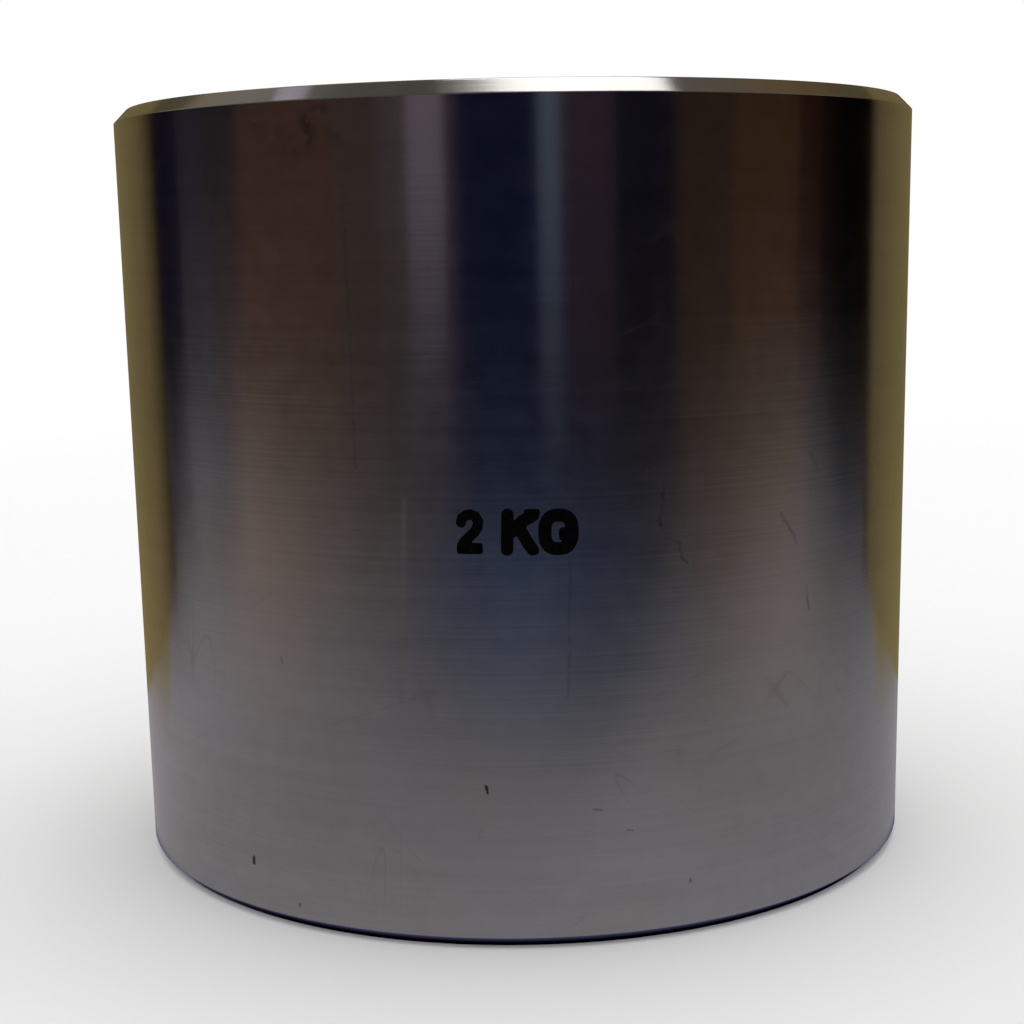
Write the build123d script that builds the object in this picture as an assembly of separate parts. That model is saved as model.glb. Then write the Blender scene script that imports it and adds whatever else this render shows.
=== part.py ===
from build123d import *
import os

# Cylindrical calibration weight, turned from one bar of stainless steel.
# Millimetres, +Z up along the turning axis, origin at the centre of the base.
# The side that carries the nominal mass faces -Y.

# Driving dimensions
body_diameter = 70.0
body_height = 65.4
top_chamfer = 1.1  # 45 degree chamfer round the top face
base_chamfer = 0.9  # 45 degree chamfer round the base
edge_break = 0.12  # radius that takes the sharpness off each turned corner
steel_density = 7.95e-6  # kilograms in a cubic millimetre of the bar

# Worked out from them
body_radius = body_diameter / 2
top_face_radius = body_radius - top_chamfer
base_face_radius = body_radius - base_chamfer
wall_top = body_height - top_chamfer


def turned_profile():
    """Half section on the XZ plane, from the turning axis out to the wall."""
    with BuildSketch(Plane.XZ) as section:
        with BuildLine():
            Polyline(
                (0, 0),
                (base_face_radius, 0),
                (body_radius, base_chamfer),
                (body_radius, wall_top),
                (top_face_radius, body_height),
                (0, body_height),
                close=True,
            )
        make_face()
        turned_corners = section.vertices().filter_by(lambda corner: corner.X > edge_break)
        fillet(turned_corners, edge_break)
    return section.sketch


def turned_weight():
    """The half section swept once round the turning axis, as one solid."""
    with BuildPart() as weight:
        add(turned_profile())
        revolve(axis=Axis.Z)
    return weight.part


weight_body = turned_weight()

os.makedirs("parts", exist_ok=True)
export_step(weight_body, "parts/weight_body.step")

print(f"volume {weight_body.volume:.1f} mm3, mass {weight_body.volume * steel_density:.4f} kg")
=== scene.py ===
import math

import bmesh
import bpy
from mathutils import Matrix, Vector


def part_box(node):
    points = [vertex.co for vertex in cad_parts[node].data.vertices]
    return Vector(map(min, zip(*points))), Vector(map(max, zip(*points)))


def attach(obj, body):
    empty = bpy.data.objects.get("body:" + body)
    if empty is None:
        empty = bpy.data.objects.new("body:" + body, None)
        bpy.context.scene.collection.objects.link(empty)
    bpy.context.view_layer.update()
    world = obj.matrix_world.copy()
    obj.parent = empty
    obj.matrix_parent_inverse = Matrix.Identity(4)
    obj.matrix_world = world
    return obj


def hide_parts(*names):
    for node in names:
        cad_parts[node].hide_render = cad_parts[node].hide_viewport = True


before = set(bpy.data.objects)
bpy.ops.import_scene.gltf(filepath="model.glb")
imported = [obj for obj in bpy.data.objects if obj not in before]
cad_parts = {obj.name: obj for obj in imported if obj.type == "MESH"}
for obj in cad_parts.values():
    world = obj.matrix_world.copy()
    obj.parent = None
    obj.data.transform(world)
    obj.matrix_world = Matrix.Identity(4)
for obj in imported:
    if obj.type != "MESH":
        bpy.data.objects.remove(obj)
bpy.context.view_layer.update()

# Calibration weight, turned from solid stainless steel, with its nominal mass in black on the front.
# Metres, +Z up along the turning axis, origin at the centre of the base, front towards -Y.

weightLow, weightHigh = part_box("weight_body")
cadRadius = (weightHigh.x - weightLow.x) / 2
cadHeight = weightHigh.z
mm = 0.001


def linkedObject(name, data):
    thing = bpy.data.objects.new(name, data)
    bpy.context.scene.collection.objects.link(thing)
    return thing


def finishedPiece(name, bm, smooth=True):
    bmesh.ops.remove_doubles(bm, verts=bm.verts, dist=0.0005 * mm)
    bmesh.ops.recalc_face_normals(bm, faces=bm.faces)
    mesh = bpy.data.meshes.new(name)
    bm.to_mesh(mesh)
    bm.free()
    mesh.polygons.foreach_set("use_smooth", [smooth] * len(mesh.polygons))
    return linkedObject(name, mesh)


# Small wrappers round a node tree, so that a material reads as one line for each step
class NodeTree:
    def __init__(self, tree):
        self.tree = tree

    def add(self, kind, **settings):
        node = self.tree.nodes.new(kind)
        for name, value in settings.items():
            setattr(node, name, value)
        return node

    def feed(self, socket, value):
        if isinstance(value, bpy.types.NodeSocket):
            self.tree.links.new(value, socket)
        elif value is not None:
            socket.default_value = value

    def math(self, operation, a, b=None, c=None, clamp=False):
        node = self.add("ShaderNodeMath", operation=operation, use_clamp=clamp)
        for socket, value in zip(node.inputs, (a, b, c)):
            self.feed(socket, value)
        return node.outputs[0]

    def vector(self, operation, a, b=None, scale=None):
        node = self.add("ShaderNodeVectorMath", operation=operation)
        self.feed(node.inputs[0], a)
        if b is not None:
            self.feed(node.inputs[1], b)
        if scale is not None:
            self.feed(node.inputs["Scale"], scale)
        scalar = operation in ("DOT_PRODUCT", "LENGTH", "DISTANCE")
        return node.outputs["Value" if scalar else "Vector"]

    def combine(self, x, y, z=0.0):
        node = self.add("ShaderNodeCombineXYZ")
        for socket, value in zip(node.inputs, (x, y, z)):
            self.feed(socket, value)
        return node.outputs[0]

    def separate(self, vector):
        node = self.add("ShaderNodeSeparateXYZ")
        self.feed(node.inputs[0], vector)
        return node.outputs

    def mapRange(self, value, fromMin, fromMax, toMin, toMax, smooth=False):
        node = self.add("ShaderNodeMapRange", clamp=True)
        node.interpolation_type = "SMOOTHSTEP" if smooth else "LINEAR"
        self.feed(node.inputs["Value"], value)
        self.feed(node.inputs["From Min"], fromMin)
        self.feed(node.inputs["From Max"], fromMax)
        self.feed(node.inputs["To Min"], toMin)
        self.feed(node.inputs["To Max"], toMax)
        return node.outputs[0]

    def noise(self, vector, scale, detail=2.0, roughness=0.5):
        node = self.add("ShaderNodeTexNoise")
        self.feed(node.inputs["Vector"], vector)
        node.inputs["Scale"].default_value = scale
        node.inputs["Detail"].default_value = detail
        node.inputs["Roughness"].default_value = roughness
        return node.outputs[0]

    def mixColor(self, factor, a, b, blend="MIX"):
        node = self.add("ShaderNodeMix", data_type="RGBA", blend_type=blend)
        self.feed(node.inputs[0], factor)
        self.feed(node.inputs[6], a)
        self.feed(node.inputs[7], b)
        return node.outputs[2]

    def group(self, groupTree, **values):
        node = self.add("ShaderNodeGroup", node_tree=groupTree)
        for name, value in values.items():
            self.feed(node.inputs[name], value)
        return node.outputs


def newGroup(name, inputs, outputs):
    tree = bpy.data.node_groups.new(name, "ShaderNodeTree")
    for label, kind in inputs:
        tree.interface.new_socket(label, in_out="INPUT", socket_type=kind)
    for label, kind in outputs:
        tree.interface.new_socket(label, in_out="OUTPUT", socket_type=kind)
    t = NodeTree(tree)
    return tree, t, t.add("NodeGroupInput").outputs, t.add("NodeGroupOutput").inputs


def newMaterial(name):
    material = bpy.data.materials.new(name)
    material.use_nodes = True
    material.node_tree.nodes.clear()
    t = NodeTree(material.node_tree)
    return material, t, t.add("ShaderNodeOutputMaterial")


# The turned weight
weightSizes = {
    "topChamfer": 1.1 * mm,
    "baseChamfer": 0.9 * mm,
    "edgeBreak": 0.12 * mm,  # radius on every turned corner
    "edgeSteps": 4,  # faces across each edge break
    "cornerTurn": 45,  # degrees that the outline turns at each corner
    "holdingGap": 0.15 * mm,  # a loop this far from each corner keeps the flats flat
    "filmThickness": 0.015 * mm,  # room left under the CAD size for the marking film
    "segments": 360,
}
wallRadius = cadRadius - weightSizes["filmThickness"]


def makeTurnedWeight():
    s = weightSizes
    bm = bmesh.new()
    corners = [
        Vector((wallRadius - s["baseChamfer"], 0, 0)),
        Vector((wallRadius, 0, s["baseChamfer"])),
        Vector((wallRadius, 0, cadHeight - s["topChamfer"])),
        Vector((wallRadius - s["topChamfer"], 0, cadHeight)),
    ]
    line = [Vector((0, 0, 0)), *corners, Vector((0, 0, cadHeight))]
    ordered = [bm.verts.new(line[0])]
    turned = []
    for before, corner, after in zip(line, corners, line[2:]):
        ordered.append(bm.verts.new(corner + (before - corner).normalized() * s["holdingGap"]))
        turned.append(bm.verts.new(corner))
        ordered.append(turned[-1])
        ordered.append(bm.verts.new(corner + (after - corner).normalized() * s["holdingGap"]))
    ordered.append(bm.verts.new(line[-1]))
    breakOffset = s["edgeBreak"] * math.tan(math.radians(s["cornerTurn"] / 2))
    for low, high in zip(ordered, ordered[1:]):
        bm.edges.new((low, high))
    bmesh.ops.bevel(
        bm, geom=turned, offset=breakOffset, offset_type="OFFSET",
        segments=s["edgeSteps"], profile=0.5, affect="VERTICES", material=-1,
    )
    bmesh.ops.spin(
        bm, geom=bm.verts[:] + bm.edges[:], cent=(0, 0, 0), axis=(0, 0, 1), dvec=(0, 0, 0),
        angle=math.tau, steps=s["segments"], use_merge=True,
    )
    return finishedPiece("turned_weight", bm)


weight = makeTurnedWeight()
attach(weight, "root")
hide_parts("weight_body")
print("weight modelled:", len(weight.data.polygons), "faces")


# The nominal mass: heavy strokes, drawn flat in millimetres, joined into one film and bent round the wall
def squareRing(centre, radii, squareness, steps=48):
    # a closed ring between an ellipse and a box
    points = []
    for i in range(steps + 1):
        c, s = math.cos(math.tau * i / steps), math.sin(math.tau * i / steps)
        x = math.copysign(abs(c) ** (2 / squareness), c)
        z = math.copysign(abs(s) ** (2 / squareness), s)
        points.append((centre[0] + radii[0] * x, centre[1] + radii[1] * z))
    return points


massMark = {
    "grain": 0.05,  # size of the faces that the strokes are joined with, mm
    "evening": 4,  # rounds of smoothing after that
    "left": -4.77,  # lower left corner, round the wall from the front and up, mm
    "low": 31.16,
    "lean": 0.84,  # degrees clockwise
    "strokes": [  # width, points
        # 2
        (0.80, [(0.39, 2.46), (0.47, 2.77), (0.75, 2.99), (1.10, 3.05), (1.44, 2.91), (1.66, 2.54),
                (1.62, 2.14), (1.40, 1.76), (1.01, 1.38), (0.62, 1.00), (0.46, 0.69)]),
        (0.43, [(0.25, 0.28), (1.80, 0.28)]),
        (0.43, [(0.25, 0.50), (1.80, 0.50)]),
        (0.43, [(0.25, 0.71), (1.80, 0.71)]),
        # K
        (0.94, [(3.84, 3.05), (3.80, 0.43)]),
        (0.98, [(4.14, 1.78), (5.03, 2.62), (5.72, 3.01)]),
        (0.49, [(5.27, 3.24), (6.01, 3.24)]),
        (0.93, [(4.69, 2.07), (4.93, 1.69), (5.41, 0.83), (5.71, 0.43)]),
        (0.46, [(5.71, 0.26), (5.96, 0.28)]),
        # G
        (1.00, squareRing((7.63, 1.74), (1.02, 1.26), 2.6)),
        (0.44, [(7.88, 1.86), (8.80, 1.86)]),
        (0.46, [(7.85, 1.58), (8.80, 1.58)]),
        (0.44, [(7.88, 1.30), (8.80, 1.30)]),
    ],
}


def strokeMesh(bm, points, width):
    # a round tube along the points, with a ball on each, so that ends and corners come out round
    curve = bpy.data.curves.new("stroke", "CURVE")
    curve.dimensions = "3D"
    curve.bevel_depth = width / 2
    curve.bevel_resolution = 6
    curve.use_fill_caps = True
    spline = curve.splines.new("POLY")
    spline.points.add(len(points) - 1)
    for point, (x, z) in zip(spline.points, points):
        point.co = (x, 0, z, 1)
    tube = linkedObject("stroke", curve)
    mesh = bpy.data.meshes.new_from_object(tube.evaluated_get(bpy.context.evaluated_depsgraph_get()))
    bm.from_mesh(mesh)
    bpy.data.objects.remove(tube)
    bpy.data.curves.remove(curve)
    bpy.data.meshes.remove(mesh)
    for x, z in points:
        at = Matrix.Translation((x, 0, z))
        bmesh.ops.create_icosphere(bm, subdivisions=3, radius=width / 2, matrix=at)


def joinedStrokes(bm, grain, evening):
    mesh = bpy.data.meshes.new("strokes")
    bm.to_mesh(mesh)
    bm.free()
    strokes = linkedObject("strokes", mesh)
    remesh = strokes.modifiers.new("join", "REMESH")
    remesh.mode = "VOXEL"
    remesh.voxel_size = grain
    smooth = strokes.modifiers.new("even", "SMOOTH")
    smooth.iterations = evening
    joined = bpy.data.meshes.new_from_object(strokes.evaluated_get(bpy.context.evaluated_depsgraph_get()))
    bpy.data.objects.remove(strokes)
    bpy.data.meshes.remove(mesh)
    result = bmesh.new()
    result.from_mesh(joined)
    bpy.data.meshes.remove(joined)
    return result


def makeMassMark():
    bm = bmesh.new()
    for width, points in massMark["strokes"]:
        strokeMesh(bm, points, width)
    bm = joinedStrokes(bm, massMark["grain"], massMark["evening"])
    bmesh.ops.rotate(bm, matrix=Matrix.Rotation(math.radians(massMark["lean"]), 3, "Y"), verts=bm.verts)
    bmesh.ops.translate(bm, vec=(massMark["left"], 0, massMark["low"]), verts=bm.verts)
    halfDepth = max(vert.co.y for vert in bm.verts)
    for vert in bm.verts:
        turn = vert.co.x * mm / cadRadius
        reach = wallRadius - vert.co.y / halfDepth * weightSizes["filmThickness"]
        vert.co = Vector((reach * math.sin(turn), -reach * math.cos(turn), vert.co.z * mm))
    return finishedPiece("nominal_mass_mark", bm)


mark = makeMassMark()
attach(mark, "root")
print("nominal mass marked:", len(mark.data.polygons), "faces")


lineSizes = {
    "facePath": 0.6,  # how fast the tool path grows over the faces, against the wall
    "aroundScale": 0.035,  # so small that a line runs a long way round
    "fineScale": 3.4,
    "broadScale": 0.55,
    "hairlineAlong": 0.03,
    "hairlineAcross": 0.30,
    "hairlineWidth": 0.005,
}


# Where a point lies on the turned surface, in millimetres: round the wall from the front, up, out from the
# axis, and along the path that the tool took over the faces, the chamfers and the wall
def makeTurnedPlaceGroup():
    group, t, inside, out = newGroup(
        "turned_place", [("Place", "NodeSocketVector")],
        [("Around", "NodeSocketFloat"), ("Out", "NodeSocketFloat"), ("Path", "NodeSocketFloat")],
    )
    x, y, z = t.separate(inside["Place"])
    turn = t.math("ARCTAN2", x, t.math("MULTIPLY", y, -1.0))
    reach = t.vector("LENGTH", t.combine(x, y))
    t.feed(out["Around"], t.math("MULTIPLY", turn, cadRadius / mm))
    t.feed(out["Out"], reach)
    t.feed(out["Path"], t.math("MULTIPLY_ADD", reach, lineSizes["facePath"], z))
    return group


# The lines that the tool left, very long round the axis and fine along its path
def makeTurningLinesGroup():
    group, t, inside, out = newGroup(
        "turning_lines",
        [("Place", "NodeSocketVector"), ("Path", "NodeSocketFloat")],
        [("Height", "NodeSocketFloat"), ("Tone", "NodeSocketFloat")],
    )
    x, y, z = t.separate(inside["Place"])
    x = t.math("MULTIPLY", x, lineSizes["aroundScale"])
    y = t.math("MULTIPLY", y, lineSizes["aroundScale"])
    finePath = t.math("MULTIPLY", inside["Path"], lineSizes["fineScale"])
    broadPath = t.math("MULTIPLY", inside["Path"], lineSizes["broadScale"])
    fine = t.noise(t.combine(x, y, finePath), 1.0, 2.0, 0.62)
    broad = t.noise(t.combine(x, y, broadPath), 1.0, 1.0, 0.5)
    t.feed(out["Height"], fine)
    t.feed(out["Tone"], t.math("MULTIPLY_ADD", broad, 0.5, t.math("MULTIPLY", fine, 0.5)))
    return group


# One straight scratch from a place along a run: Share is the run over its length squared, and Height less
# Slope times the distance from the line, up to Strength, is the mask
def makeScratchGroup():
    group, t, inside, out = newGroup(
        "scratch",
        [("Place", "NodeSocketVector"), ("Start", "NodeSocketVector"), ("Run", "NodeSocketVector"),
         ("Share", "NodeSocketVector"), ("Slope", "NodeSocketFloat"), ("Height", "NodeSocketFloat"),
         ("Strength", "NodeSocketFloat"), ("Before", "NodeSocketFloat")],
        [("Mask", "NodeSocketFloat")],
    )
    local = t.vector("SUBTRACT", inside["Place"], inside["Start"])
    along = t.math("ADD", t.vector("DOT_PRODUCT", local, inside["Share"]), 0.0, clamp=True)
    away = t.vector("DISTANCE", local, t.vector("SCALE", inside["Run"], scale=along))
    mask = t.math("MULTIPLY_ADD", away, inside["Slope"], inside["Height"])
    t.feed(out["Mask"], t.math("MAXIMUM", t.math("MINIMUM", mask, inside["Strength"]), inside["Before"]))
    return group


# Fine handling scratches: thin bent lines in one direction
def makeHairlinesGroup():
    group, t, inside, out = newGroup(
        "handling_hairlines",
        [("Place", "NodeSocketVector"), ("Along", "NodeSocketVector"), ("Across", "NodeSocketVector"),
         ("Shift", "NodeSocketFloat")],
        [("Mask", "NodeSocketFloat")],
    )
    x = t.vector("DOT_PRODUCT", inside["Place"], inside["Along"])
    y = t.vector("DOT_PRODUCT", inside["Place"], inside["Across"])
    x = t.math("MULTIPLY", x, lineSizes["hairlineAlong"])
    y = t.math("MULTIPLY", y, lineSizes["hairlineAcross"])
    stretched = t.combine(x, y, inside["Shift"])
    away = t.math("ABSOLUTE", t.math("SUBTRACT", t.noise(stretched, 1.0, 0.0), 0.5))
    t.feed(out["Mask"], t.mapRange(away, 0.0, lineSizes["hairlineWidth"], 1.0, 0.0))
    return group


turnedPlace = makeTurnedPlaceGroup()
turningLines = makeTurningLinesGroup()
scratchLine = makeScratchGroup()
hairlines = makeHairlinesGroup()


# Turned stainless steel
steelFinish = {
    "color": (0.55, 0.535, 0.515, 1),
    "warmColor": (0.555, 0.525, 0.495, 1),
    "coolColor": (0.53, 0.535, 0.54, 1),
    "roughness": 0.17,
    "facedRoughness": 0.72,  # the faces and the chamfers came off the tool this much smoother
    "anisotropic": 0.73,
    "grooveDepth": 0.0035 * mm,
    "hairlineTone": 0.09,  # how far a handling scratch darkens the steel
    "lineTone": 0.28,  # and the tool lines
    "mottleTone": 0.14,  # and a cloudy unevenness
    "plainShare": 0.4,  # of the plain colour over the warm and the cool
    "stainShare": 0.72,
    "grimeShare": 0.8,
    # what each adds to the roughness
    "mottleRoughness": 0.05,
    "lineRoughness": 0.05,
    "hairlineRoughness": 0.05,
    "nickRoughness": 0.34,
    "stainRoughness": 0.12,
    "scratchRoughness": 0.10,
    # strewn hairlines: direction, shift, and the span of the patches that hold them
    "hairlineLayers": [(1.45, 0.0, 0.54, 0.68), (0.35, 23.0, 0.46, 0.32), (2.3, 37.0, 0.50, 0.60)],
    "faceMargin": 1.2,  # mm in from the wall where the marks of the faces take over
    "wallMargin": 0.08,  # mm in from the wall where the chamfers start
    "stainColor": (0.16, 0.085, 0.05, 1),
    "grimeColor": (0.05, 0.042, 0.04, 1),
}
# Places in mm: round the wall from the front, then up
wallMarks = {
    "scratches": [  # strength, width, points
        (0.45, 0.26, [(4.2, 53.0), (3.95, 38.6)]),
        (0.32, 0.30, [(3.75, 30.4), (3.5, 20.2)]),
        (0.38, 0.34, [(-12.75, 57.7), (-12.55, 47.8), (-12.45, 37.5)]),
        (0.60, 0.28, [(9.6, 44.0), (8.8, 40.4)]),
        (0.80, 0.42, [(11.0, 36.2), (10.72, 32.9)]),
        (0.25, 0.30, [(10.72, 32.9), (11.36, 31.8)]),
        (0.50, 0.36, [(11.36, 31.8), (12.26, 31.5), (12.48, 30.3), (12.9, 29.9)]),
        (0.40, 0.40, [(21.6, 32.9), (22.8, 31.4), (23.4, 30.4)]),
        (0.38, 0.42, [(24.6, 26.8), (24.95, 24.9)]),
        (0.42, 0.42, [(24.75, 37.4), (25.8, 35.9)]),
        (0.65, 0.28, [(7.65, 58.0), (8.1, 54.9)]),
        (0.65, 0.32, [(7.25, 54.9), (8.4, 54.87)]),
    ],
    "specks": [  # strength, width, points
        (1.0, 0.36, [(-2.9, 13.2), (-2.9, 12.7)]),
        (1.0, 0.36, [(-23.9, 5.15), (-23.92, 4.6)]),
        (0.6, 0.30, [(-19.05, 2.15), (-19.05, 1.95)]),
        (0.6, 0.30, [(13.2, 4.6), (13.2, 4.4)]),
    ],
    "nicks": [  # strength, width, points
        (0.9, 0.24, [(5.3, 11.15), (6.0, 11.05)]),
        (0.9, 0.22, [(7.95, 9.3), (8.45, 9.2)]),
        (0.7, 0.22, [(-20.9, 38.8), (-20.2, 38.8)]),
        (0.7, 0.22, [(-19.9, 22.4), (-19.8, 21.9)]),
        (0.30, 0.65, [(-8.65, 35.2), (-9.0, 27.7), (-9.4, 19.9)]),
    ],
    "stains": [  # strength, width, points
        (1.0, 2.0, [(-15.5, 62.9), (-15.5, 61.7)]),
        (0.75, 1.2, [(-15.2, 63.3), (-14.0, 63.7)]),
        (0.75, 1.4, [(-20.2, 63.1), (-19.8, 62.6)]),
        (0.6, 1.0, [(-13.5, 61.9), (-13.1, 61.5)]),
        (0.35, 3.2, [(-18.9, 62.0), (-16.7, 61.0)]),
    ],
}


def marksMask(t, place, marks):
    total = 0.0
    for strength, width, points in marks:
        slope = -strength / (0.4 * width)  # full strength within a tenth of the width, none from half of it
        for start, end in zip(points, points[1:]):
            run = Vector((end[0] - start[0], end[1] - start[1], 0))
            line = t.group(
                scratchLine, Place=place, Start=(*start, 0), Run=run, Share=run / run.length_squared,
                Slope=slope, Height=-slope * width / 2, Strength=strength, Before=total,
            )
            total = line["Mask"]
    return total


def makeSteel():
    s = steelFinish
    material, t, output = newMaterial("turned_steel")
    place = t.vector("SCALE", t.add("ShaderNodeTexCoord").outputs["Object"], scale=1 / mm)
    x, y, z = t.separate(place)
    turned = t.group(turnedPlace, Place=place)
    lines = t.group(turningLines, Place=place, Path=turned["Path"])
    wall = t.combine(turned["Around"], z)
    onFace = t.math("LESS_THAN", turned["Out"], cadRadius / mm - s["faceMargin"])  # the flat top and base
    onWall = t.math("SUBTRACT", 1.0, onFace)

    # marks from use, in places along the wall and strewn over every side
    wobble = t.math("SUBTRACT", t.noise(wall, 1.3, 0.0), 0.5)
    wallBent = t.combine(t.math("MULTIPLY_ADD", wobble, 0.35, turned["Around"]), z)
    patchy = t.mapRange(t.noise(wall, 0.9, 0.0), 0.32, 0.6, 0.35, 1.0)
    scratches = t.math("MULTIPLY", marksMask(t, wallBent, wallMarks["scratches"]), patchy)
    specks = marksMask(t, wallBent, wallMarks["specks"])
    nicks = marksMask(t, wall, wallMarks["nicks"])
    stainEdge = t.mapRange(t.noise(wall, 1.1, 1.0, 0.65), 0.36, 0.58, 0.0, 1.0, smooth=True)
    stains = t.math("MULTIPLY", marksMask(t, wallBent, wallMarks["stains"]), stainEdge)
    scratches = t.math("MULTIPLY", scratches, onWall)
    stains = t.math("MULTIPLY", stains, onWall)

    mixPlace = t.add("ShaderNodeMix", data_type="VECTOR")
    t.feed(mixPlace.inputs[0], onFace)
    t.feed(mixPlace.inputs[4], wall)
    t.feed(mixPlace.inputs[5], place)
    handled = 0.0
    patches = t.noise(mixPlace.outputs[1], 0.08, 1.0)
    for turn, shift, low, high in s["hairlineLayers"]:
        along = Vector((math.cos(turn), math.sin(turn), 0))
        across = Vector((-math.sin(turn), math.cos(turn), 0))
        fine = t.group(hairlines, Place=mixPlace.outputs[1], Along=along, Across=across, Shift=shift)
        patch = t.mapRange(patches, low, high, 0.0, 1.0, smooth=True)
        handled = t.math("MAXIMUM", t.math("MULTIPLY", fine["Mask"], patch), handled)

    # colour: a slow warm and cool drift, faint tool lines, then the marks
    drift = t.mapRange(t.noise(place, 0.09, 0.0), 0.35, 0.65, 0.0, 1.0, smooth=True)
    mottle = t.noise(place, 0.55, 1.0, 0.65)
    tone = t.math("MULTIPLY_ADD", t.math("SUBTRACT", lines["Tone"], 0.5), s["lineTone"], 1.0)
    tone = t.math("MULTIPLY_ADD", t.math("SUBTRACT", mottle, 0.5), s["mottleTone"], tone)
    tone = t.math("MULTIPLY_ADD", handled, -s["hairlineTone"], tone)
    color = t.mixColor(drift, s["warmColor"], s["coolColor"])
    color = t.mixColor(s["plainShare"], color, s["color"])
    color = t.mixColor(1.0, color, t.combine(tone, tone, tone), "MULTIPLY")
    color = t.mixColor(t.math("MULTIPLY", stains, s["stainShare"]), color, s["stainColor"])
    grime = t.math("MAXIMUM", t.math("MULTIPLY", scratches, s["grimeShare"]), specks)
    color = t.mixColor(grime, color, s["grimeColor"])

    rough = t.math("MULTIPLY_ADD", t.math("SUBTRACT", mottle, 0.5), s["mottleRoughness"], s["roughness"])
    rough = t.math("MULTIPLY_ADD", t.math("SUBTRACT", lines["Tone"], 0.5), s["lineRoughness"], rough)
    rough = t.math("MULTIPLY_ADD", handled, s["hairlineRoughness"], rough)
    rough = t.math("MULTIPLY_ADD", nicks, s["nickRoughness"], rough)
    rough = t.math("MULTIPLY_ADD", stains, s["stainRoughness"], rough)
    rough = t.math("MULTIPLY_ADD", scratches, s["scratchRoughness"], rough)
    inside = t.math("LESS_THAN", turned["Out"], cadRadius / mm - s["wallMargin"])
    rough = t.math("MULTIPLY", rough, t.mapRange(inside, 0.0, 1.0, 1.0, s["facedRoughness"]))

    shader = t.add("ShaderNodeBsdfPrincipled")
    shader.inputs["Metallic"].default_value = 1
    shader.inputs["Anisotropic"].default_value = s["anisotropic"]
    shader.inputs["Anisotropic Rotation"].default_value = 0.25
    t.feed(shader.inputs["Base Color"], color)
    t.feed(shader.inputs["Roughness"], rough)
    bump = t.add("ShaderNodeBump")
    bump.inputs["Distance"].default_value = s["grooveDepth"]
    t.feed(bump.inputs["Height"], lines["Height"])
    t.feed(shader.inputs["Normal"], bump.outputs[0])
    tangent = t.add("ShaderNodeTangent", direction_type="RADIAL", axis="Z")
    t.feed(shader.inputs["Tangent"], tangent.outputs[0])
    t.feed(output.inputs["Surface"], shader.outputs[0])
    return material


# The black film of the mark, thin enough to show the tool lines under it
filmFinish = {
    "color": (0.0006, 0.0006, 0.0008, 1),
    "wornColor": (0.002, 0.0019, 0.002, 1),
    "roughness": 0.5,
    "specular": 0.06,
    "lineRoughness": 0.16,
    "grooveDepth": 0.002 * mm,
}


def makeFilm():
    s = filmFinish
    material, t, output = newMaterial("marking_black")
    place = t.vector("SCALE", t.add("ShaderNodeTexCoord").outputs["Object"], scale=1 / mm)
    turned = t.group(turnedPlace, Place=place)
    lines = t.group(turningLines, Place=place, Path=turned["Path"])
    worn = t.mapRange(t.noise(place, 3.0, 4.0, 0.6), 0.45, 0.7, 0.0, 1.0)
    shader = t.add("ShaderNodeBsdfPrincipled")
    shader.inputs["Specular IOR Level"].default_value = s["specular"]
    t.feed(shader.inputs["Base Color"], t.mixColor(worn, s["color"], s["wornColor"]))
    rough = t.math("MULTIPLY_ADD", lines["Tone"], s["lineRoughness"], s["roughness"])
    t.feed(shader.inputs["Roughness"], rough)
    bump = t.add("ShaderNodeBump")
    bump.inputs["Distance"].default_value = s["grooveDepth"]
    t.feed(bump.inputs["Height"], lines["Height"])
    t.feed(shader.inputs["Normal"], bump.outputs[0])
    t.feed(output.inputs["Surface"], shader.outputs[0])
    return material


weight.data.materials.append(makeSteel())
mark.data.materials.append(makeFilm())
print("steel and film finished")


# Floor and world: both white where they are looked at, the floor plain near the weight, for its shadow
studio = {
    "floorColor": (0.95, 0.95, 0.95, 1),
    "floorRadius": 2.5,
    "plainFloor": 0.16,  # the floor turns to white between these distances from the weight
    "whiteFloor": 0.42,
    "ambient": 0.93,  # what the world gives to everything that isn't a mirror
}


def seenRays(t):
    path = t.add("ShaderNodeLightPath").outputs
    seen = t.math("MAXIMUM", path["Is Camera Ray"], path["Is Glossy Ray"])
    return t.math("MAXIMUM", seen, path["Is Transmission Ray"])


def makeFloor():
    bm = bmesh.new()
    bmesh.ops.create_circle(bm, cap_ends=True, radius=studio["floorRadius"], segments=96)
    floor = finishedPiece("floor", bm, smooth=False)
    material, t, output = newMaterial("pale_floor")
    shader = t.add("ShaderNodeBsdfPrincipled")
    shader.inputs["Base Color"].default_value = studio["floorColor"]
    shader.inputs["Roughness"].default_value = 1
    shader.inputs["Specular IOR Level"].default_value = 0
    white = t.add("ShaderNodeEmission")
    reach = t.vector("LENGTH", t.add("ShaderNodeTexCoord").outputs["Object"])
    far = t.mapRange(reach, studio["plainFloor"], studio["whiteFloor"], 0.0, 1.0, smooth=True)
    mix = t.add("ShaderNodeMixShader")
    t.feed(mix.inputs[0], t.math("MULTIPLY", far, seenRays(t)))
    t.feed(mix.inputs[1], shader.outputs[0])
    t.feed(mix.inputs[2], white.outputs[0])
    t.feed(output.inputs["Surface"], mix.outputs[0])
    floor.data.materials.append(material)


def makeWorld():
    world = bpy.data.worlds.new("studio")
    world.use_nodes = True
    t = NodeTree(world.node_tree)
    background = world.node_tree.nodes["Background"]
    background.inputs["Color"].default_value = (1, 1, 1, 1)
    t.feed(background.inputs["Strength"], t.mapRange(seenRays(t), 0.0, 1.0, studio["ambient"], 1.0))
    bpy.context.scene.world = world


makeFloor()
makeWorld()


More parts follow.
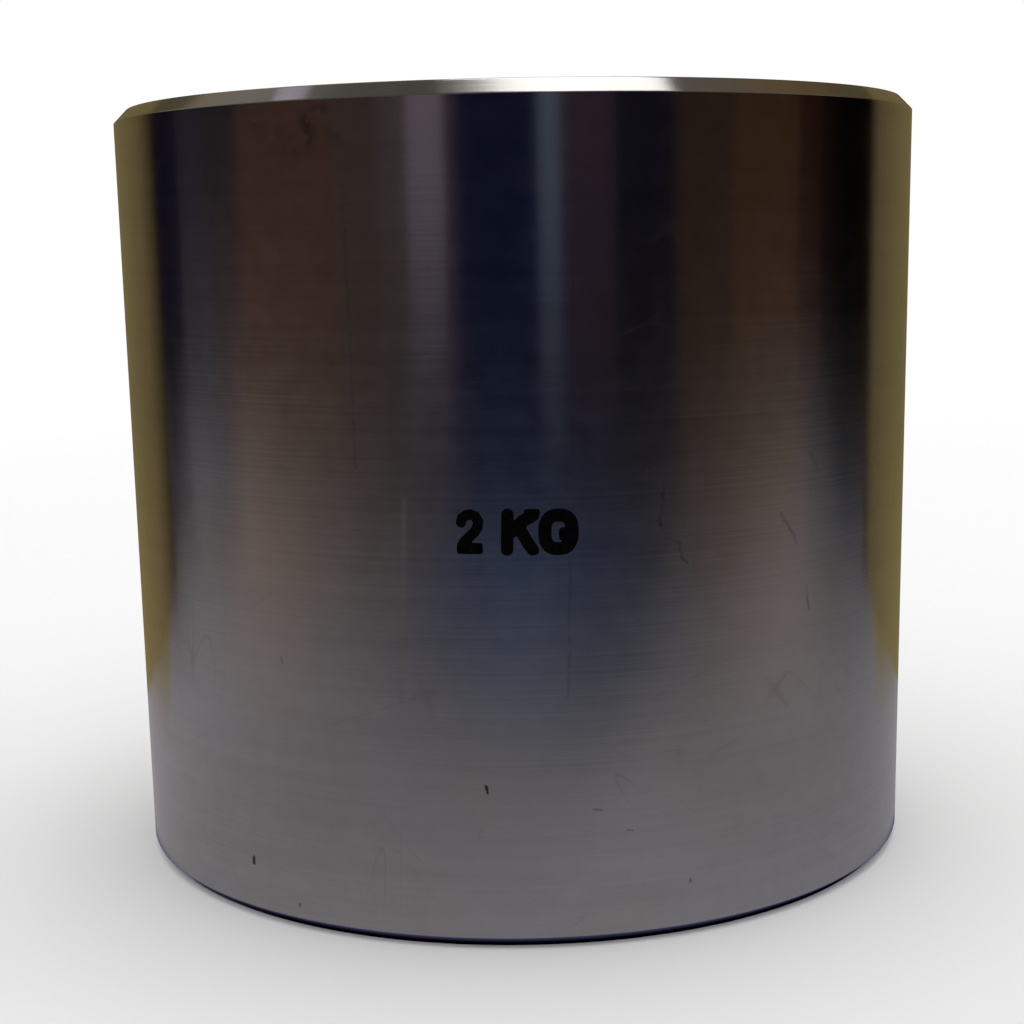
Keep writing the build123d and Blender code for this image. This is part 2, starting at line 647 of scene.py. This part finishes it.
# Painted reflections: the dim room that the bare steel mirrors, made of glowing cards. Its cards are seen
# by mirror rays alone: they give no light to the weight or the floor and take none from them.
def glossyOnly(card):
    card.visible_camera = False
    card.visible_diffuse = False
    card.visible_transmission = False
    card.visible_shadow = False
    card.visible_volume_scatter = False


def paintedReflectionMaterial(name, tone, rise=1.0):
    material, t, output = newMaterial(name)
    material.cycles.emission_sampling = "NONE"
    # a painted reflection: the card glows with its tone, lighter or darker upwards by the rise
    glow = t.add("ShaderNodeEmission")
    glow.inputs["Color"].default_value = (*tone, 1)
    if rise != 1:
        x, y, z = t.separate(t.add("ShaderNodeTexCoord").outputs["Object"])
        t.feed(glow.inputs["Strength"], t.mapRange(z, 0.02, 0.10, 1.0, rise, smooth=True))
    t.feed(output.inputs["Surface"], glow.outputs[0])
    return material


roomSizes = {
    "ring": 0.6,  # radius
    "height": 0.30,
    "backHeight": 0.5,
    "footHeight": 0.022,
    "dome": 0.95,  # radius
    "cardStep": 3,  # degrees to a face
}
paintedReflectionCards = [
    # start and stop in degrees from the front towards +X, lower edge in metres, tone, and how much
    # lighter or darker it is a hand's breadth up
    ("flag_front", -14.5, 6.3, 0, (0.0041, 0.0062, 0.0228), 0.9),
    ("slit_right", 6.3, 12, 0, (0.045, 0.056, 0.080), 1.75),
    ("shade_right", 12, 26.5, 0, (0.026, 0.015, 0.025), 1.2),
    ("dark_right", 26.5, 43, 0, (0.0049, 0.0046, 0.0102), 1.0),
    ("brown_right_a", 43, 60, 0, (0.030, 0.017, 0.011), 0.85),
    ("brown_right_b", 60, 82, 0, (0.052, 0.026, 0.013), 0.70),
    ("brown_right_c", 82, 91, 0, (0.026, 0.009, 0.005), 0.60),
    ("brown_right_d", 91, 98, 0, (0.006, 0.002, 0.0015), 0.70),
    ("black_right", 98, 137, 0, (0.0004, 0.0003, 0.0004), 1.0),
    ("slit_left_a", -17.8, -14.5, 0, (0.031, 0.019, 0.036), 1.0),
    ("slit_left_b", -27.7, -17.8, 0.022, (0.092, 0.077, 0.096), 1.70),
    ("slit_left_foot", -27.7, -17.8, 0, (0.030, 0.022, 0.032), 1.0),
    ("step_left", -35.3, -27.7, 0, (0.046, 0.035, 0.036), 1.3),
    ("shade_left", -48, -35.3, 0, (0.046, 0.032, 0.028), 1.0),
    ("brown_left", -79, -48, 0, (0.060, 0.031, 0.025), 0.85),
    ("dark_left", -91, -79, 0, (0.042, 0.031, 0.035), 0.40),
    ("grey_left", -104, -91, 0, (0.037, 0.034, 0.048), 0.50),
    ("black_left", -137, -104, 0, (0.006, 0.005, 0.014), 1.0),
    ("back", 137, 223, 0, (0.09, 0.08, 0.045), 1.0),
]


def makePaintedReflectionCard(name, start, stop, low, high, radius, tone, rise):
    a = math.radians(start)
    bm = bmesh.new()
    foot = Vector((radius * math.sin(a), -radius * math.cos(a), low))
    ends = [bm.verts.new(foot), bm.verts.new(foot + Vector((0, 0, high - low)))]
    edge = bm.edges.new(ends)
    bmesh.ops.spin(
        bm, geom=ends + [edge], cent=(0, 0, 0), axis=(0, 0, 1), dvec=(0, 0, 0),
        angle=math.radians(stop - start), steps=max(2, round((stop - start) / roomSizes["cardStep"])),
    )
    card = finishedPiece(name, bm, smooth=False)
    card.data.materials.append(paintedReflectionMaterial(name, tone, rise))
    glossyOnly(card)


cardHeights = {"slit_left_foot": roomSizes["footHeight"], "back": roomSizes["backHeight"]}
for name, start, stop, low, tone, rise in paintedReflectionCards:
    high = cardHeights.get(name, roomSizes["height"])
    makePaintedReflectionCard(name, start, stop, low, high, roomSizes["ring"], tone, rise)


# The table that the steel mirrors round its foot, as a glowing card seen by mirror rays alone: its light,
# shadows and shade are painted on it
tableCard = {
    "tone": (0.325, 0.313, 0.340, 1),
    "sideTone": (0.425, 0.320, 0.278, 1),  # warmer towards the sides
    "frontTone": (0.250, 0.370, 0.790, 1),  # cool in front
    "backTone": (0.235, 0.190, 0.085, 1),  # what the uprights behind throw on it
    "radius": 0.62,
    "litFrom": 0.010,  # in front of here the light on the table falls away
    "frontReach": 0.126,
    "leftGain": 0.22,  # the light reaches further forward towards the sides
    "rightGain": 0.10,
    "sideReach": 0.33,
    "falloff": -1.5,
    # painted shade areas: share, where each starts and is full across, then along a line of this slope
    "shades": [
        (0.42, (0.0, 0.17), 0.0, (-0.06, 0.01)),  # at the sides
        (0.15, (-0.06, -0.20), 0.0, (-0.06, 0.01)),
        (0.62, (0.10, 0.28), 0.0, (0.0, 0.05)),  # further back
        (0.52, (-0.07, -0.16), 0.42, (-0.045, -0.005)),
        (0.42, (-0.03, 0.05), 0.8, (-0.035, -0.085)),  # in front, bounded by a slanting line
        (0.35, (-0.02, -0.06), -1.1, (-0.15, -0.23)),
    ],
    "patchCore": 0.2,  # share of a patch's reach that has its full strength
    "patches": [  # painted light and shade: place, reach, how much lighter or darker
        (0.016, -0.084, 0.048, 0.25),
        (0.012, -0.165, 0.055, 0.22),
        (-0.045, -0.155, 0.065, -0.27),
        (0.135, -0.155, 0.095, -0.27),
        (-0.250, -0.140, 0.160, 0.12),
        (-0.083, -0.160, 0.045, 0.22),
        (-0.055, -0.035, 0.050, -0.13),
        (0.057, -0.022, 0.045, -0.12),
        (-0.400, 0.020, 0.230, 0.42),
    ],
    "shadeStreaks": [  # painted shade lines running out to the left: slope, shift, half width full and at the edge, share
        (-0.42, -0.031, 0.018, 0.043, 0.46),
        (0.08, 0.0, 0.012, 0.038, 0.18),
    ],
    "shadeStreakFrom": (-0.15, -0.23),
    "footShadow": (0.0351, 0.0365),  # the weight's own shadow at its foot, by distance from the axis
    "underShadow": (0.0343, 0.0347),
    "footLight": (0.019, 0.036, 0.4),  # the shadow is lit again this far to the left, and how much
    "shadowTone": (0.070, 0.075, 0.200, 1),
    # where the side and front tones start and are full, across and along
    "sideAcross": (0.04, 0.25),
    "sideAlong": (0.02, -0.08),
    "frontMiddle": 0.02,
    "frontAcross": (0.13, 0.04),
    "frontAlong": (-0.08, -0.20),
    # the warm light thrown from the uprights: slope of its edge, the edge, and its reach from the axis
    "thrownSlope": -0.67,
    "thrownEdge": (-0.034, -0.027),
    "thrownReach": (0.060, 0.110),
    "lift": 0.02 * mm,  # over the floor
}


def makeTableCard():
    s = tableCard
    bm = bmesh.new()
    bmesh.ops.create_circle(bm, cap_ends=True, radius=s["radius"], segments=96)
    bmesh.ops.translate(bm, vec=(0, 0, s["lift"]), verts=bm.verts)
    card = finishedPiece("table_card", bm, smooth=False)
    material, t, output = newMaterial("table_card")
    material.cycles.emission_sampling = "NONE"
    x, y, z = t.separate(t.add("ShaderNodeTexCoord").outputs["Object"])
    flat = t.combine(x, y)
    reach = t.vector("LENGTH", flat)
    sideways = t.math("ABSOLUTE", x)
    reachFront = t.math("MULTIPLY_ADD", t.math("MAXIMUM", x, 0.0), s["rightGain"], s["frontReach"])
    reachFront = t.math("MULTIPLY_ADD", t.math("MINIMUM", x, 0.0), -s["leftGain"], reachFront)
    front = t.math("DIVIDE", t.math("MAXIMUM", t.math("SUBTRACT", s["litFrom"], y), 0.0), reachFront)
    side = t.math("DIVIDE", x, s["sideReach"])
    spread = t.math("MULTIPLY_ADD", front, front, t.math("MULTIPLY_ADD", side, side, 1.0))
    light = t.math("POWER", spread, s["falloff"])

    def darker(light, share, place):
        # less light, by the share where the place is full
        return t.math("MULTIPLY", light, t.math("SUBTRACT", 1.0, t.math("MULTIPLY", share, place)))

    for share, across, slope, along in s["shades"]:
        line = t.math("MULTIPLY_ADD", x, slope, y)
        area = t.mapRange(line, *along, 0.0, share, smooth=True)
        light = darker(light, area, t.mapRange(x, *across, 0.0, 1.0, smooth=True))
    for across, along, size, gain in s["patches"]:
        away = t.vector("DISTANCE", flat, (across, along, 0))
        patch = t.mapRange(away, s["patchCore"] * size, size, 1.0 + gain, 1.0, smooth=True)
        light = t.math("MULTIPLY", light, patch)

    # the painted shade streaks on the left
    start = t.mapRange(x, *s["shadeStreakFrom"], 0.0, 1.0, smooth=True)
    for slope, shift, full, edge, share in s["shadeStreaks"]:
        away = t.math("ABSOLUTE", t.math("MULTIPLY_ADD", x, -slope, t.math("SUBTRACT", y, shift)))
        light = darker(light, t.mapRange(away, full, edge, share, 0.0, smooth=True), start)

    # the shadow at the foot
    footStart, footFull, footGain = s["footLight"]
    footLight = t.mapRange(x, -footStart, -footFull, 0.0, footGain)
    under = t.mapRange(reach, *s["underShadow"], 0.0, 1.0, smooth=True)
    foot = t.mapRange(reach, *s["footShadow"], 0.0, 1.0, smooth=True)
    light = t.math("MULTIPLY", light, t.math("MAXIMUM", under, footLight))
    foot = t.math("MAXIMUM", foot, footLight)

    atSide = t.mapRange(sideways, *s["sideAcross"], 0.0, 1.0, smooth=True)
    atSide = t.math("MULTIPLY", atSide, t.mapRange(y, *s["sideAlong"], 0.0, 1.0, smooth=True))
    fromMiddle = t.math("ABSOLUTE", t.math("SUBTRACT", x, s["frontMiddle"]))
    inFront = t.mapRange(fromMiddle, *s["frontAcross"], 0.0, 1.0, smooth=True)
    inFront = t.math("MULTIPLY", inFront, t.mapRange(y, *s["frontAlong"], 0.0, 1.0, smooth=True))
    color = t.mixColor(inFront, t.mixColor(atSide, s["tone"], s["sideTone"]), s["frontTone"])
    color = t.mixColor(foot, s["shadowTone"], color)

    # the warm light thrown from the uprights, in the two corners behind
    corner = t.math("MULTIPLY_ADD", sideways, s["thrownSlope"], y)
    thrown = t.mapRange(corner, *s["thrownEdge"], 0.0, 1.0, smooth=True)
    thrown = t.math("MULTIPLY", thrown, t.mapRange(reach, *s["thrownReach"], 0.0, 1.0, smooth=True))
    light = t.math("MULTIPLY_ADD", thrown, t.math("SUBTRACT", 1.0, light), light)
    # the painted reflection of the table glows with its painted light and shadows
    glow = t.add("ShaderNodeEmission")
    t.feed(glow.inputs["Color"], t.mixColor(thrown, color, s["backTone"]))
    t.feed(glow.inputs["Strength"], light)
    t.feed(output.inputs["Surface"], glow.outputs[0])
    card.data.materials.append(material)
    glossyOnly(card)


makeTableCard()


# Painted reflections of two warm uprights behind, one on each side: glowing cards, brighter at the foot and
# dim at the outer edge
uprights = {
    "place": 0.046,
    "height": 0.10,
    "footGain": 1.32,
    "footReach": 0.035,
    "edgeGain": 0.15,
    "left": {"inner": -0.05, "outer": -0.144, "edgeFrom": -0.104, "tone": (0.172, 0.136, 0.060),
             "outerTone": (0.145, 0.105, 0.050), "change": (-0.07, -0.11)},
    "right": {"inner": 0.05, "outer": 0.152, "edgeFrom": 0.132, "tone": (0.166, 0.134, 0.057),
              "outerTone": (0.100, 0.075, 0.044), "change": (0.07, 0.15)},
}


def makeUpright(side):
    s, own = uprights, uprights[side]
    bm = bmesh.new()
    bmesh.ops.create_grid(bm, x_segments=1, y_segments=1, size=0.5)
    bmesh.ops.scale(bm, vec=(abs(own["outer"] - own["inner"]), s["height"], 1), verts=bm.verts)
    bmesh.ops.rotate(bm, matrix=Matrix.Rotation(math.radians(90), 3, "X"), verts=bm.verts)
    middle = (own["inner"] + own["outer"]) / 2
    bmesh.ops.translate(bm, vec=(middle, s["place"], s["height"] / 2), verts=bm.verts)
    card = finishedPiece("upright_" + side, bm, smooth=False)
    material, t, output = newMaterial("upright_" + side)
    material.cycles.emission_sampling = "NONE"
    x, y, z = t.separate(t.add("ShaderNodeTexCoord").outputs["Object"])
    share = t.mapRange(x, *own["change"], 0.0, 1.0, smooth=True)
    foot = t.mapRange(z, 0.0, s["footReach"], s["footGain"], 1.0)
    edge = t.mapRange(x, own["edgeFrom"], own["outer"], 1.0, s["edgeGain"])
    # painted reflection, with painted light at the foot and painted shade at the outer edge
    glow = t.add("ShaderNodeEmission")
    t.feed(glow.inputs["Color"], t.mixColor(share, (*own["tone"], 1), (*own["outerTone"], 1)))
    t.feed(glow.inputs["Strength"], t.math("MULTIPLY", foot, edge))
    t.feed(output.inputs["Surface"], glow.outputs[0])
    card.data.materials.append(material)
    glossyOnly(card)


makeUpright("left")
makeUpright("right")


# Painted reflections of the ceiling: a glowing half dome of tones, and a glowing spot as a painted
# highlight
ceiling = {
    # tones from the front towards the back, on each side: metres behind the axis, colour
    "left": [(-0.75, (0.085, 0.083, 0.078)), (0.15, (0.094, 0.092, 0.081)), (0.27, (0.18, 0.18, 0.165)),
             (0.36, (0.25, 0.23, 0.20)), (0.50, (0.23, 0.20, 0.155)), (0.64, (0.19, 0.145, 0.075))],
    "right": [(-0.75, (0.085, 0.080, 0.075)), (0.22, (0.15, 0.122, 0.10)), (0.38, (0.150, 0.108, 0.058)),
              (0.56, (0.128, 0.088, 0.042)), (0.74, (0.190, 0.140, 0.056))],
    "sideEdge": (-0.1, 0.1),  # across, where the left tones give way to the right ones
    "spot": (-121.4, 58, 0.80, 0.040, (0.50, 0.47, 0.56)),  # degrees round and up, distance, radius, tone
}


def rampColor(t, place, reach, stops):
    # colours along an axis, from -reach to reach
    node = t.add("ShaderNodeValToRGB")
    t.feed(node.inputs[0], t.math("MULTIPLY_ADD", place, 0.5 / reach, 0.5))
    ramp = node.color_ramp.elements
    while len(ramp) < len(stops):
        ramp.new(1.0)
    for element, (at, color) in zip(ramp, stops):
        element.position = 0.5 + 0.5 * at / reach
        element.color = (*color, 1)
    return node.outputs[0]


# the painted reflection of the ceiling and the far room, as a glowing half dome
def makeDome():
    bm = bmesh.new()
    bmesh.ops.create_uvsphere(bm, u_segments=48, v_segments=24, radius=roomSizes["dome"])
    bmesh.ops.bisect_plane(
        bm, geom=bm.verts[:] + bm.edges[:] + bm.faces[:],
        plane_co=(0, 0, 0), plane_no=(0, 0, 1), clear_inner=True,
    )
    dome = finishedPiece("room_dome", bm, smooth=False)
    material, t, output = newMaterial("room_dome")
    material.cycles.emission_sampling = "NONE"
    x, y, z = t.separate(t.add("ShaderNodeTexCoord").outputs["Object"])
    side = t.mapRange(x, *ceiling["sideEdge"], 0.0, 1.0, smooth=True)
    glow = t.add("ShaderNodeEmission")
    left = rampColor(t, y, roomSizes["dome"], ceiling["left"])
    right = rampColor(t, y, roomSizes["dome"], ceiling["right"])
    t.feed(glow.inputs["Color"], t.mixColor(side, left, right))
    t.feed(output.inputs["Surface"], glow.outputs[0])
    dome.data.materials.append(material)
    glossyOnly(dome)


# a painted highlight: a glowing disc on the ceiling that the steel mirrors
def makeCeilingSpot():
    turn, up, distance, radius, tone = ceiling["spot"]
    turn, up = math.radians(turn), math.radians(up)
    toward = Vector((math.cos(up) * math.sin(turn), -math.cos(up) * math.cos(turn), math.sin(up)))
    bm = bmesh.new()
    bmesh.ops.create_circle(bm, cap_ends=True, radius=radius, segments=32)
    bmesh.ops.rotate(bm, matrix=toward.to_track_quat("Z", "Y").to_matrix(), verts=bm.verts)
    bmesh.ops.translate(bm, vec=toward * distance, verts=bm.verts)
    spot = finishedPiece("ceiling_spot", bm, smooth=False)
    spot.data.materials.append(paintedReflectionMaterial("ceiling_spot", tone))
    glossyOnly(spot)


makeDome()
makeCeilingSpot()


# One soft lamp overhead, which the top chamfer mirrors as a white band
overheadLamp = {
    "centre": (0.0915, 0.10, 0.80),
    "target": (0, 0, 0.03),
    "size": (0.365, 0.30),
    "radiance": 1.90,
}


def makeLamp():
    s = overheadLamp
    data = bpy.data.lights.new("overhead", "AREA")
    data.shape = "RECTANGLE"
    data.size, data.size_y = s["size"]
    data.energy = s["radiance"] * math.pi * s["size"][0] * s["size"][1]
    lamp = linkedObject("overhead", data)
    lamp.location = s["centre"]
    toward = Vector(s["target"]) - Vector(s["centre"])
    lamp.rotation_euler = toward.to_track_quat("-Z", "Y").to_euler()


makeLamp()
print("stage and light made")

cameraSetup = {
    "distance": 166.9 * mm, "height": 54.6 * mm,
    "yaw": -0.0050, "pitch": 0.1992, "roll": -0.0187,
    "lens": 63.44, "shiftY": 0.0828,
}


def makeCamera():
    s = cameraSetup
    data = bpy.data.cameras.new("camera")
    data.lens = s["lens"]
    data.sensor_width = 36
    data.shift_y = s["shiftY"]
    data.clip_start = 0.01
    camera = linkedObject("camera", data)
    camera.matrix_world = (
        Matrix.Translation((0, -s["distance"], s["height"]))
        @ Matrix.Rotation(-s["yaw"], 4, "Z")
        @ Matrix.Rotation(math.pi / 2 - s["pitch"], 4, "X")
        @ Matrix.Rotation(s["roll"], 4, "Z")
    )
    bpy.context.scene.camera = camera


makeCamera()
bpy.context.scene.view_settings.view_transform = "Standard"
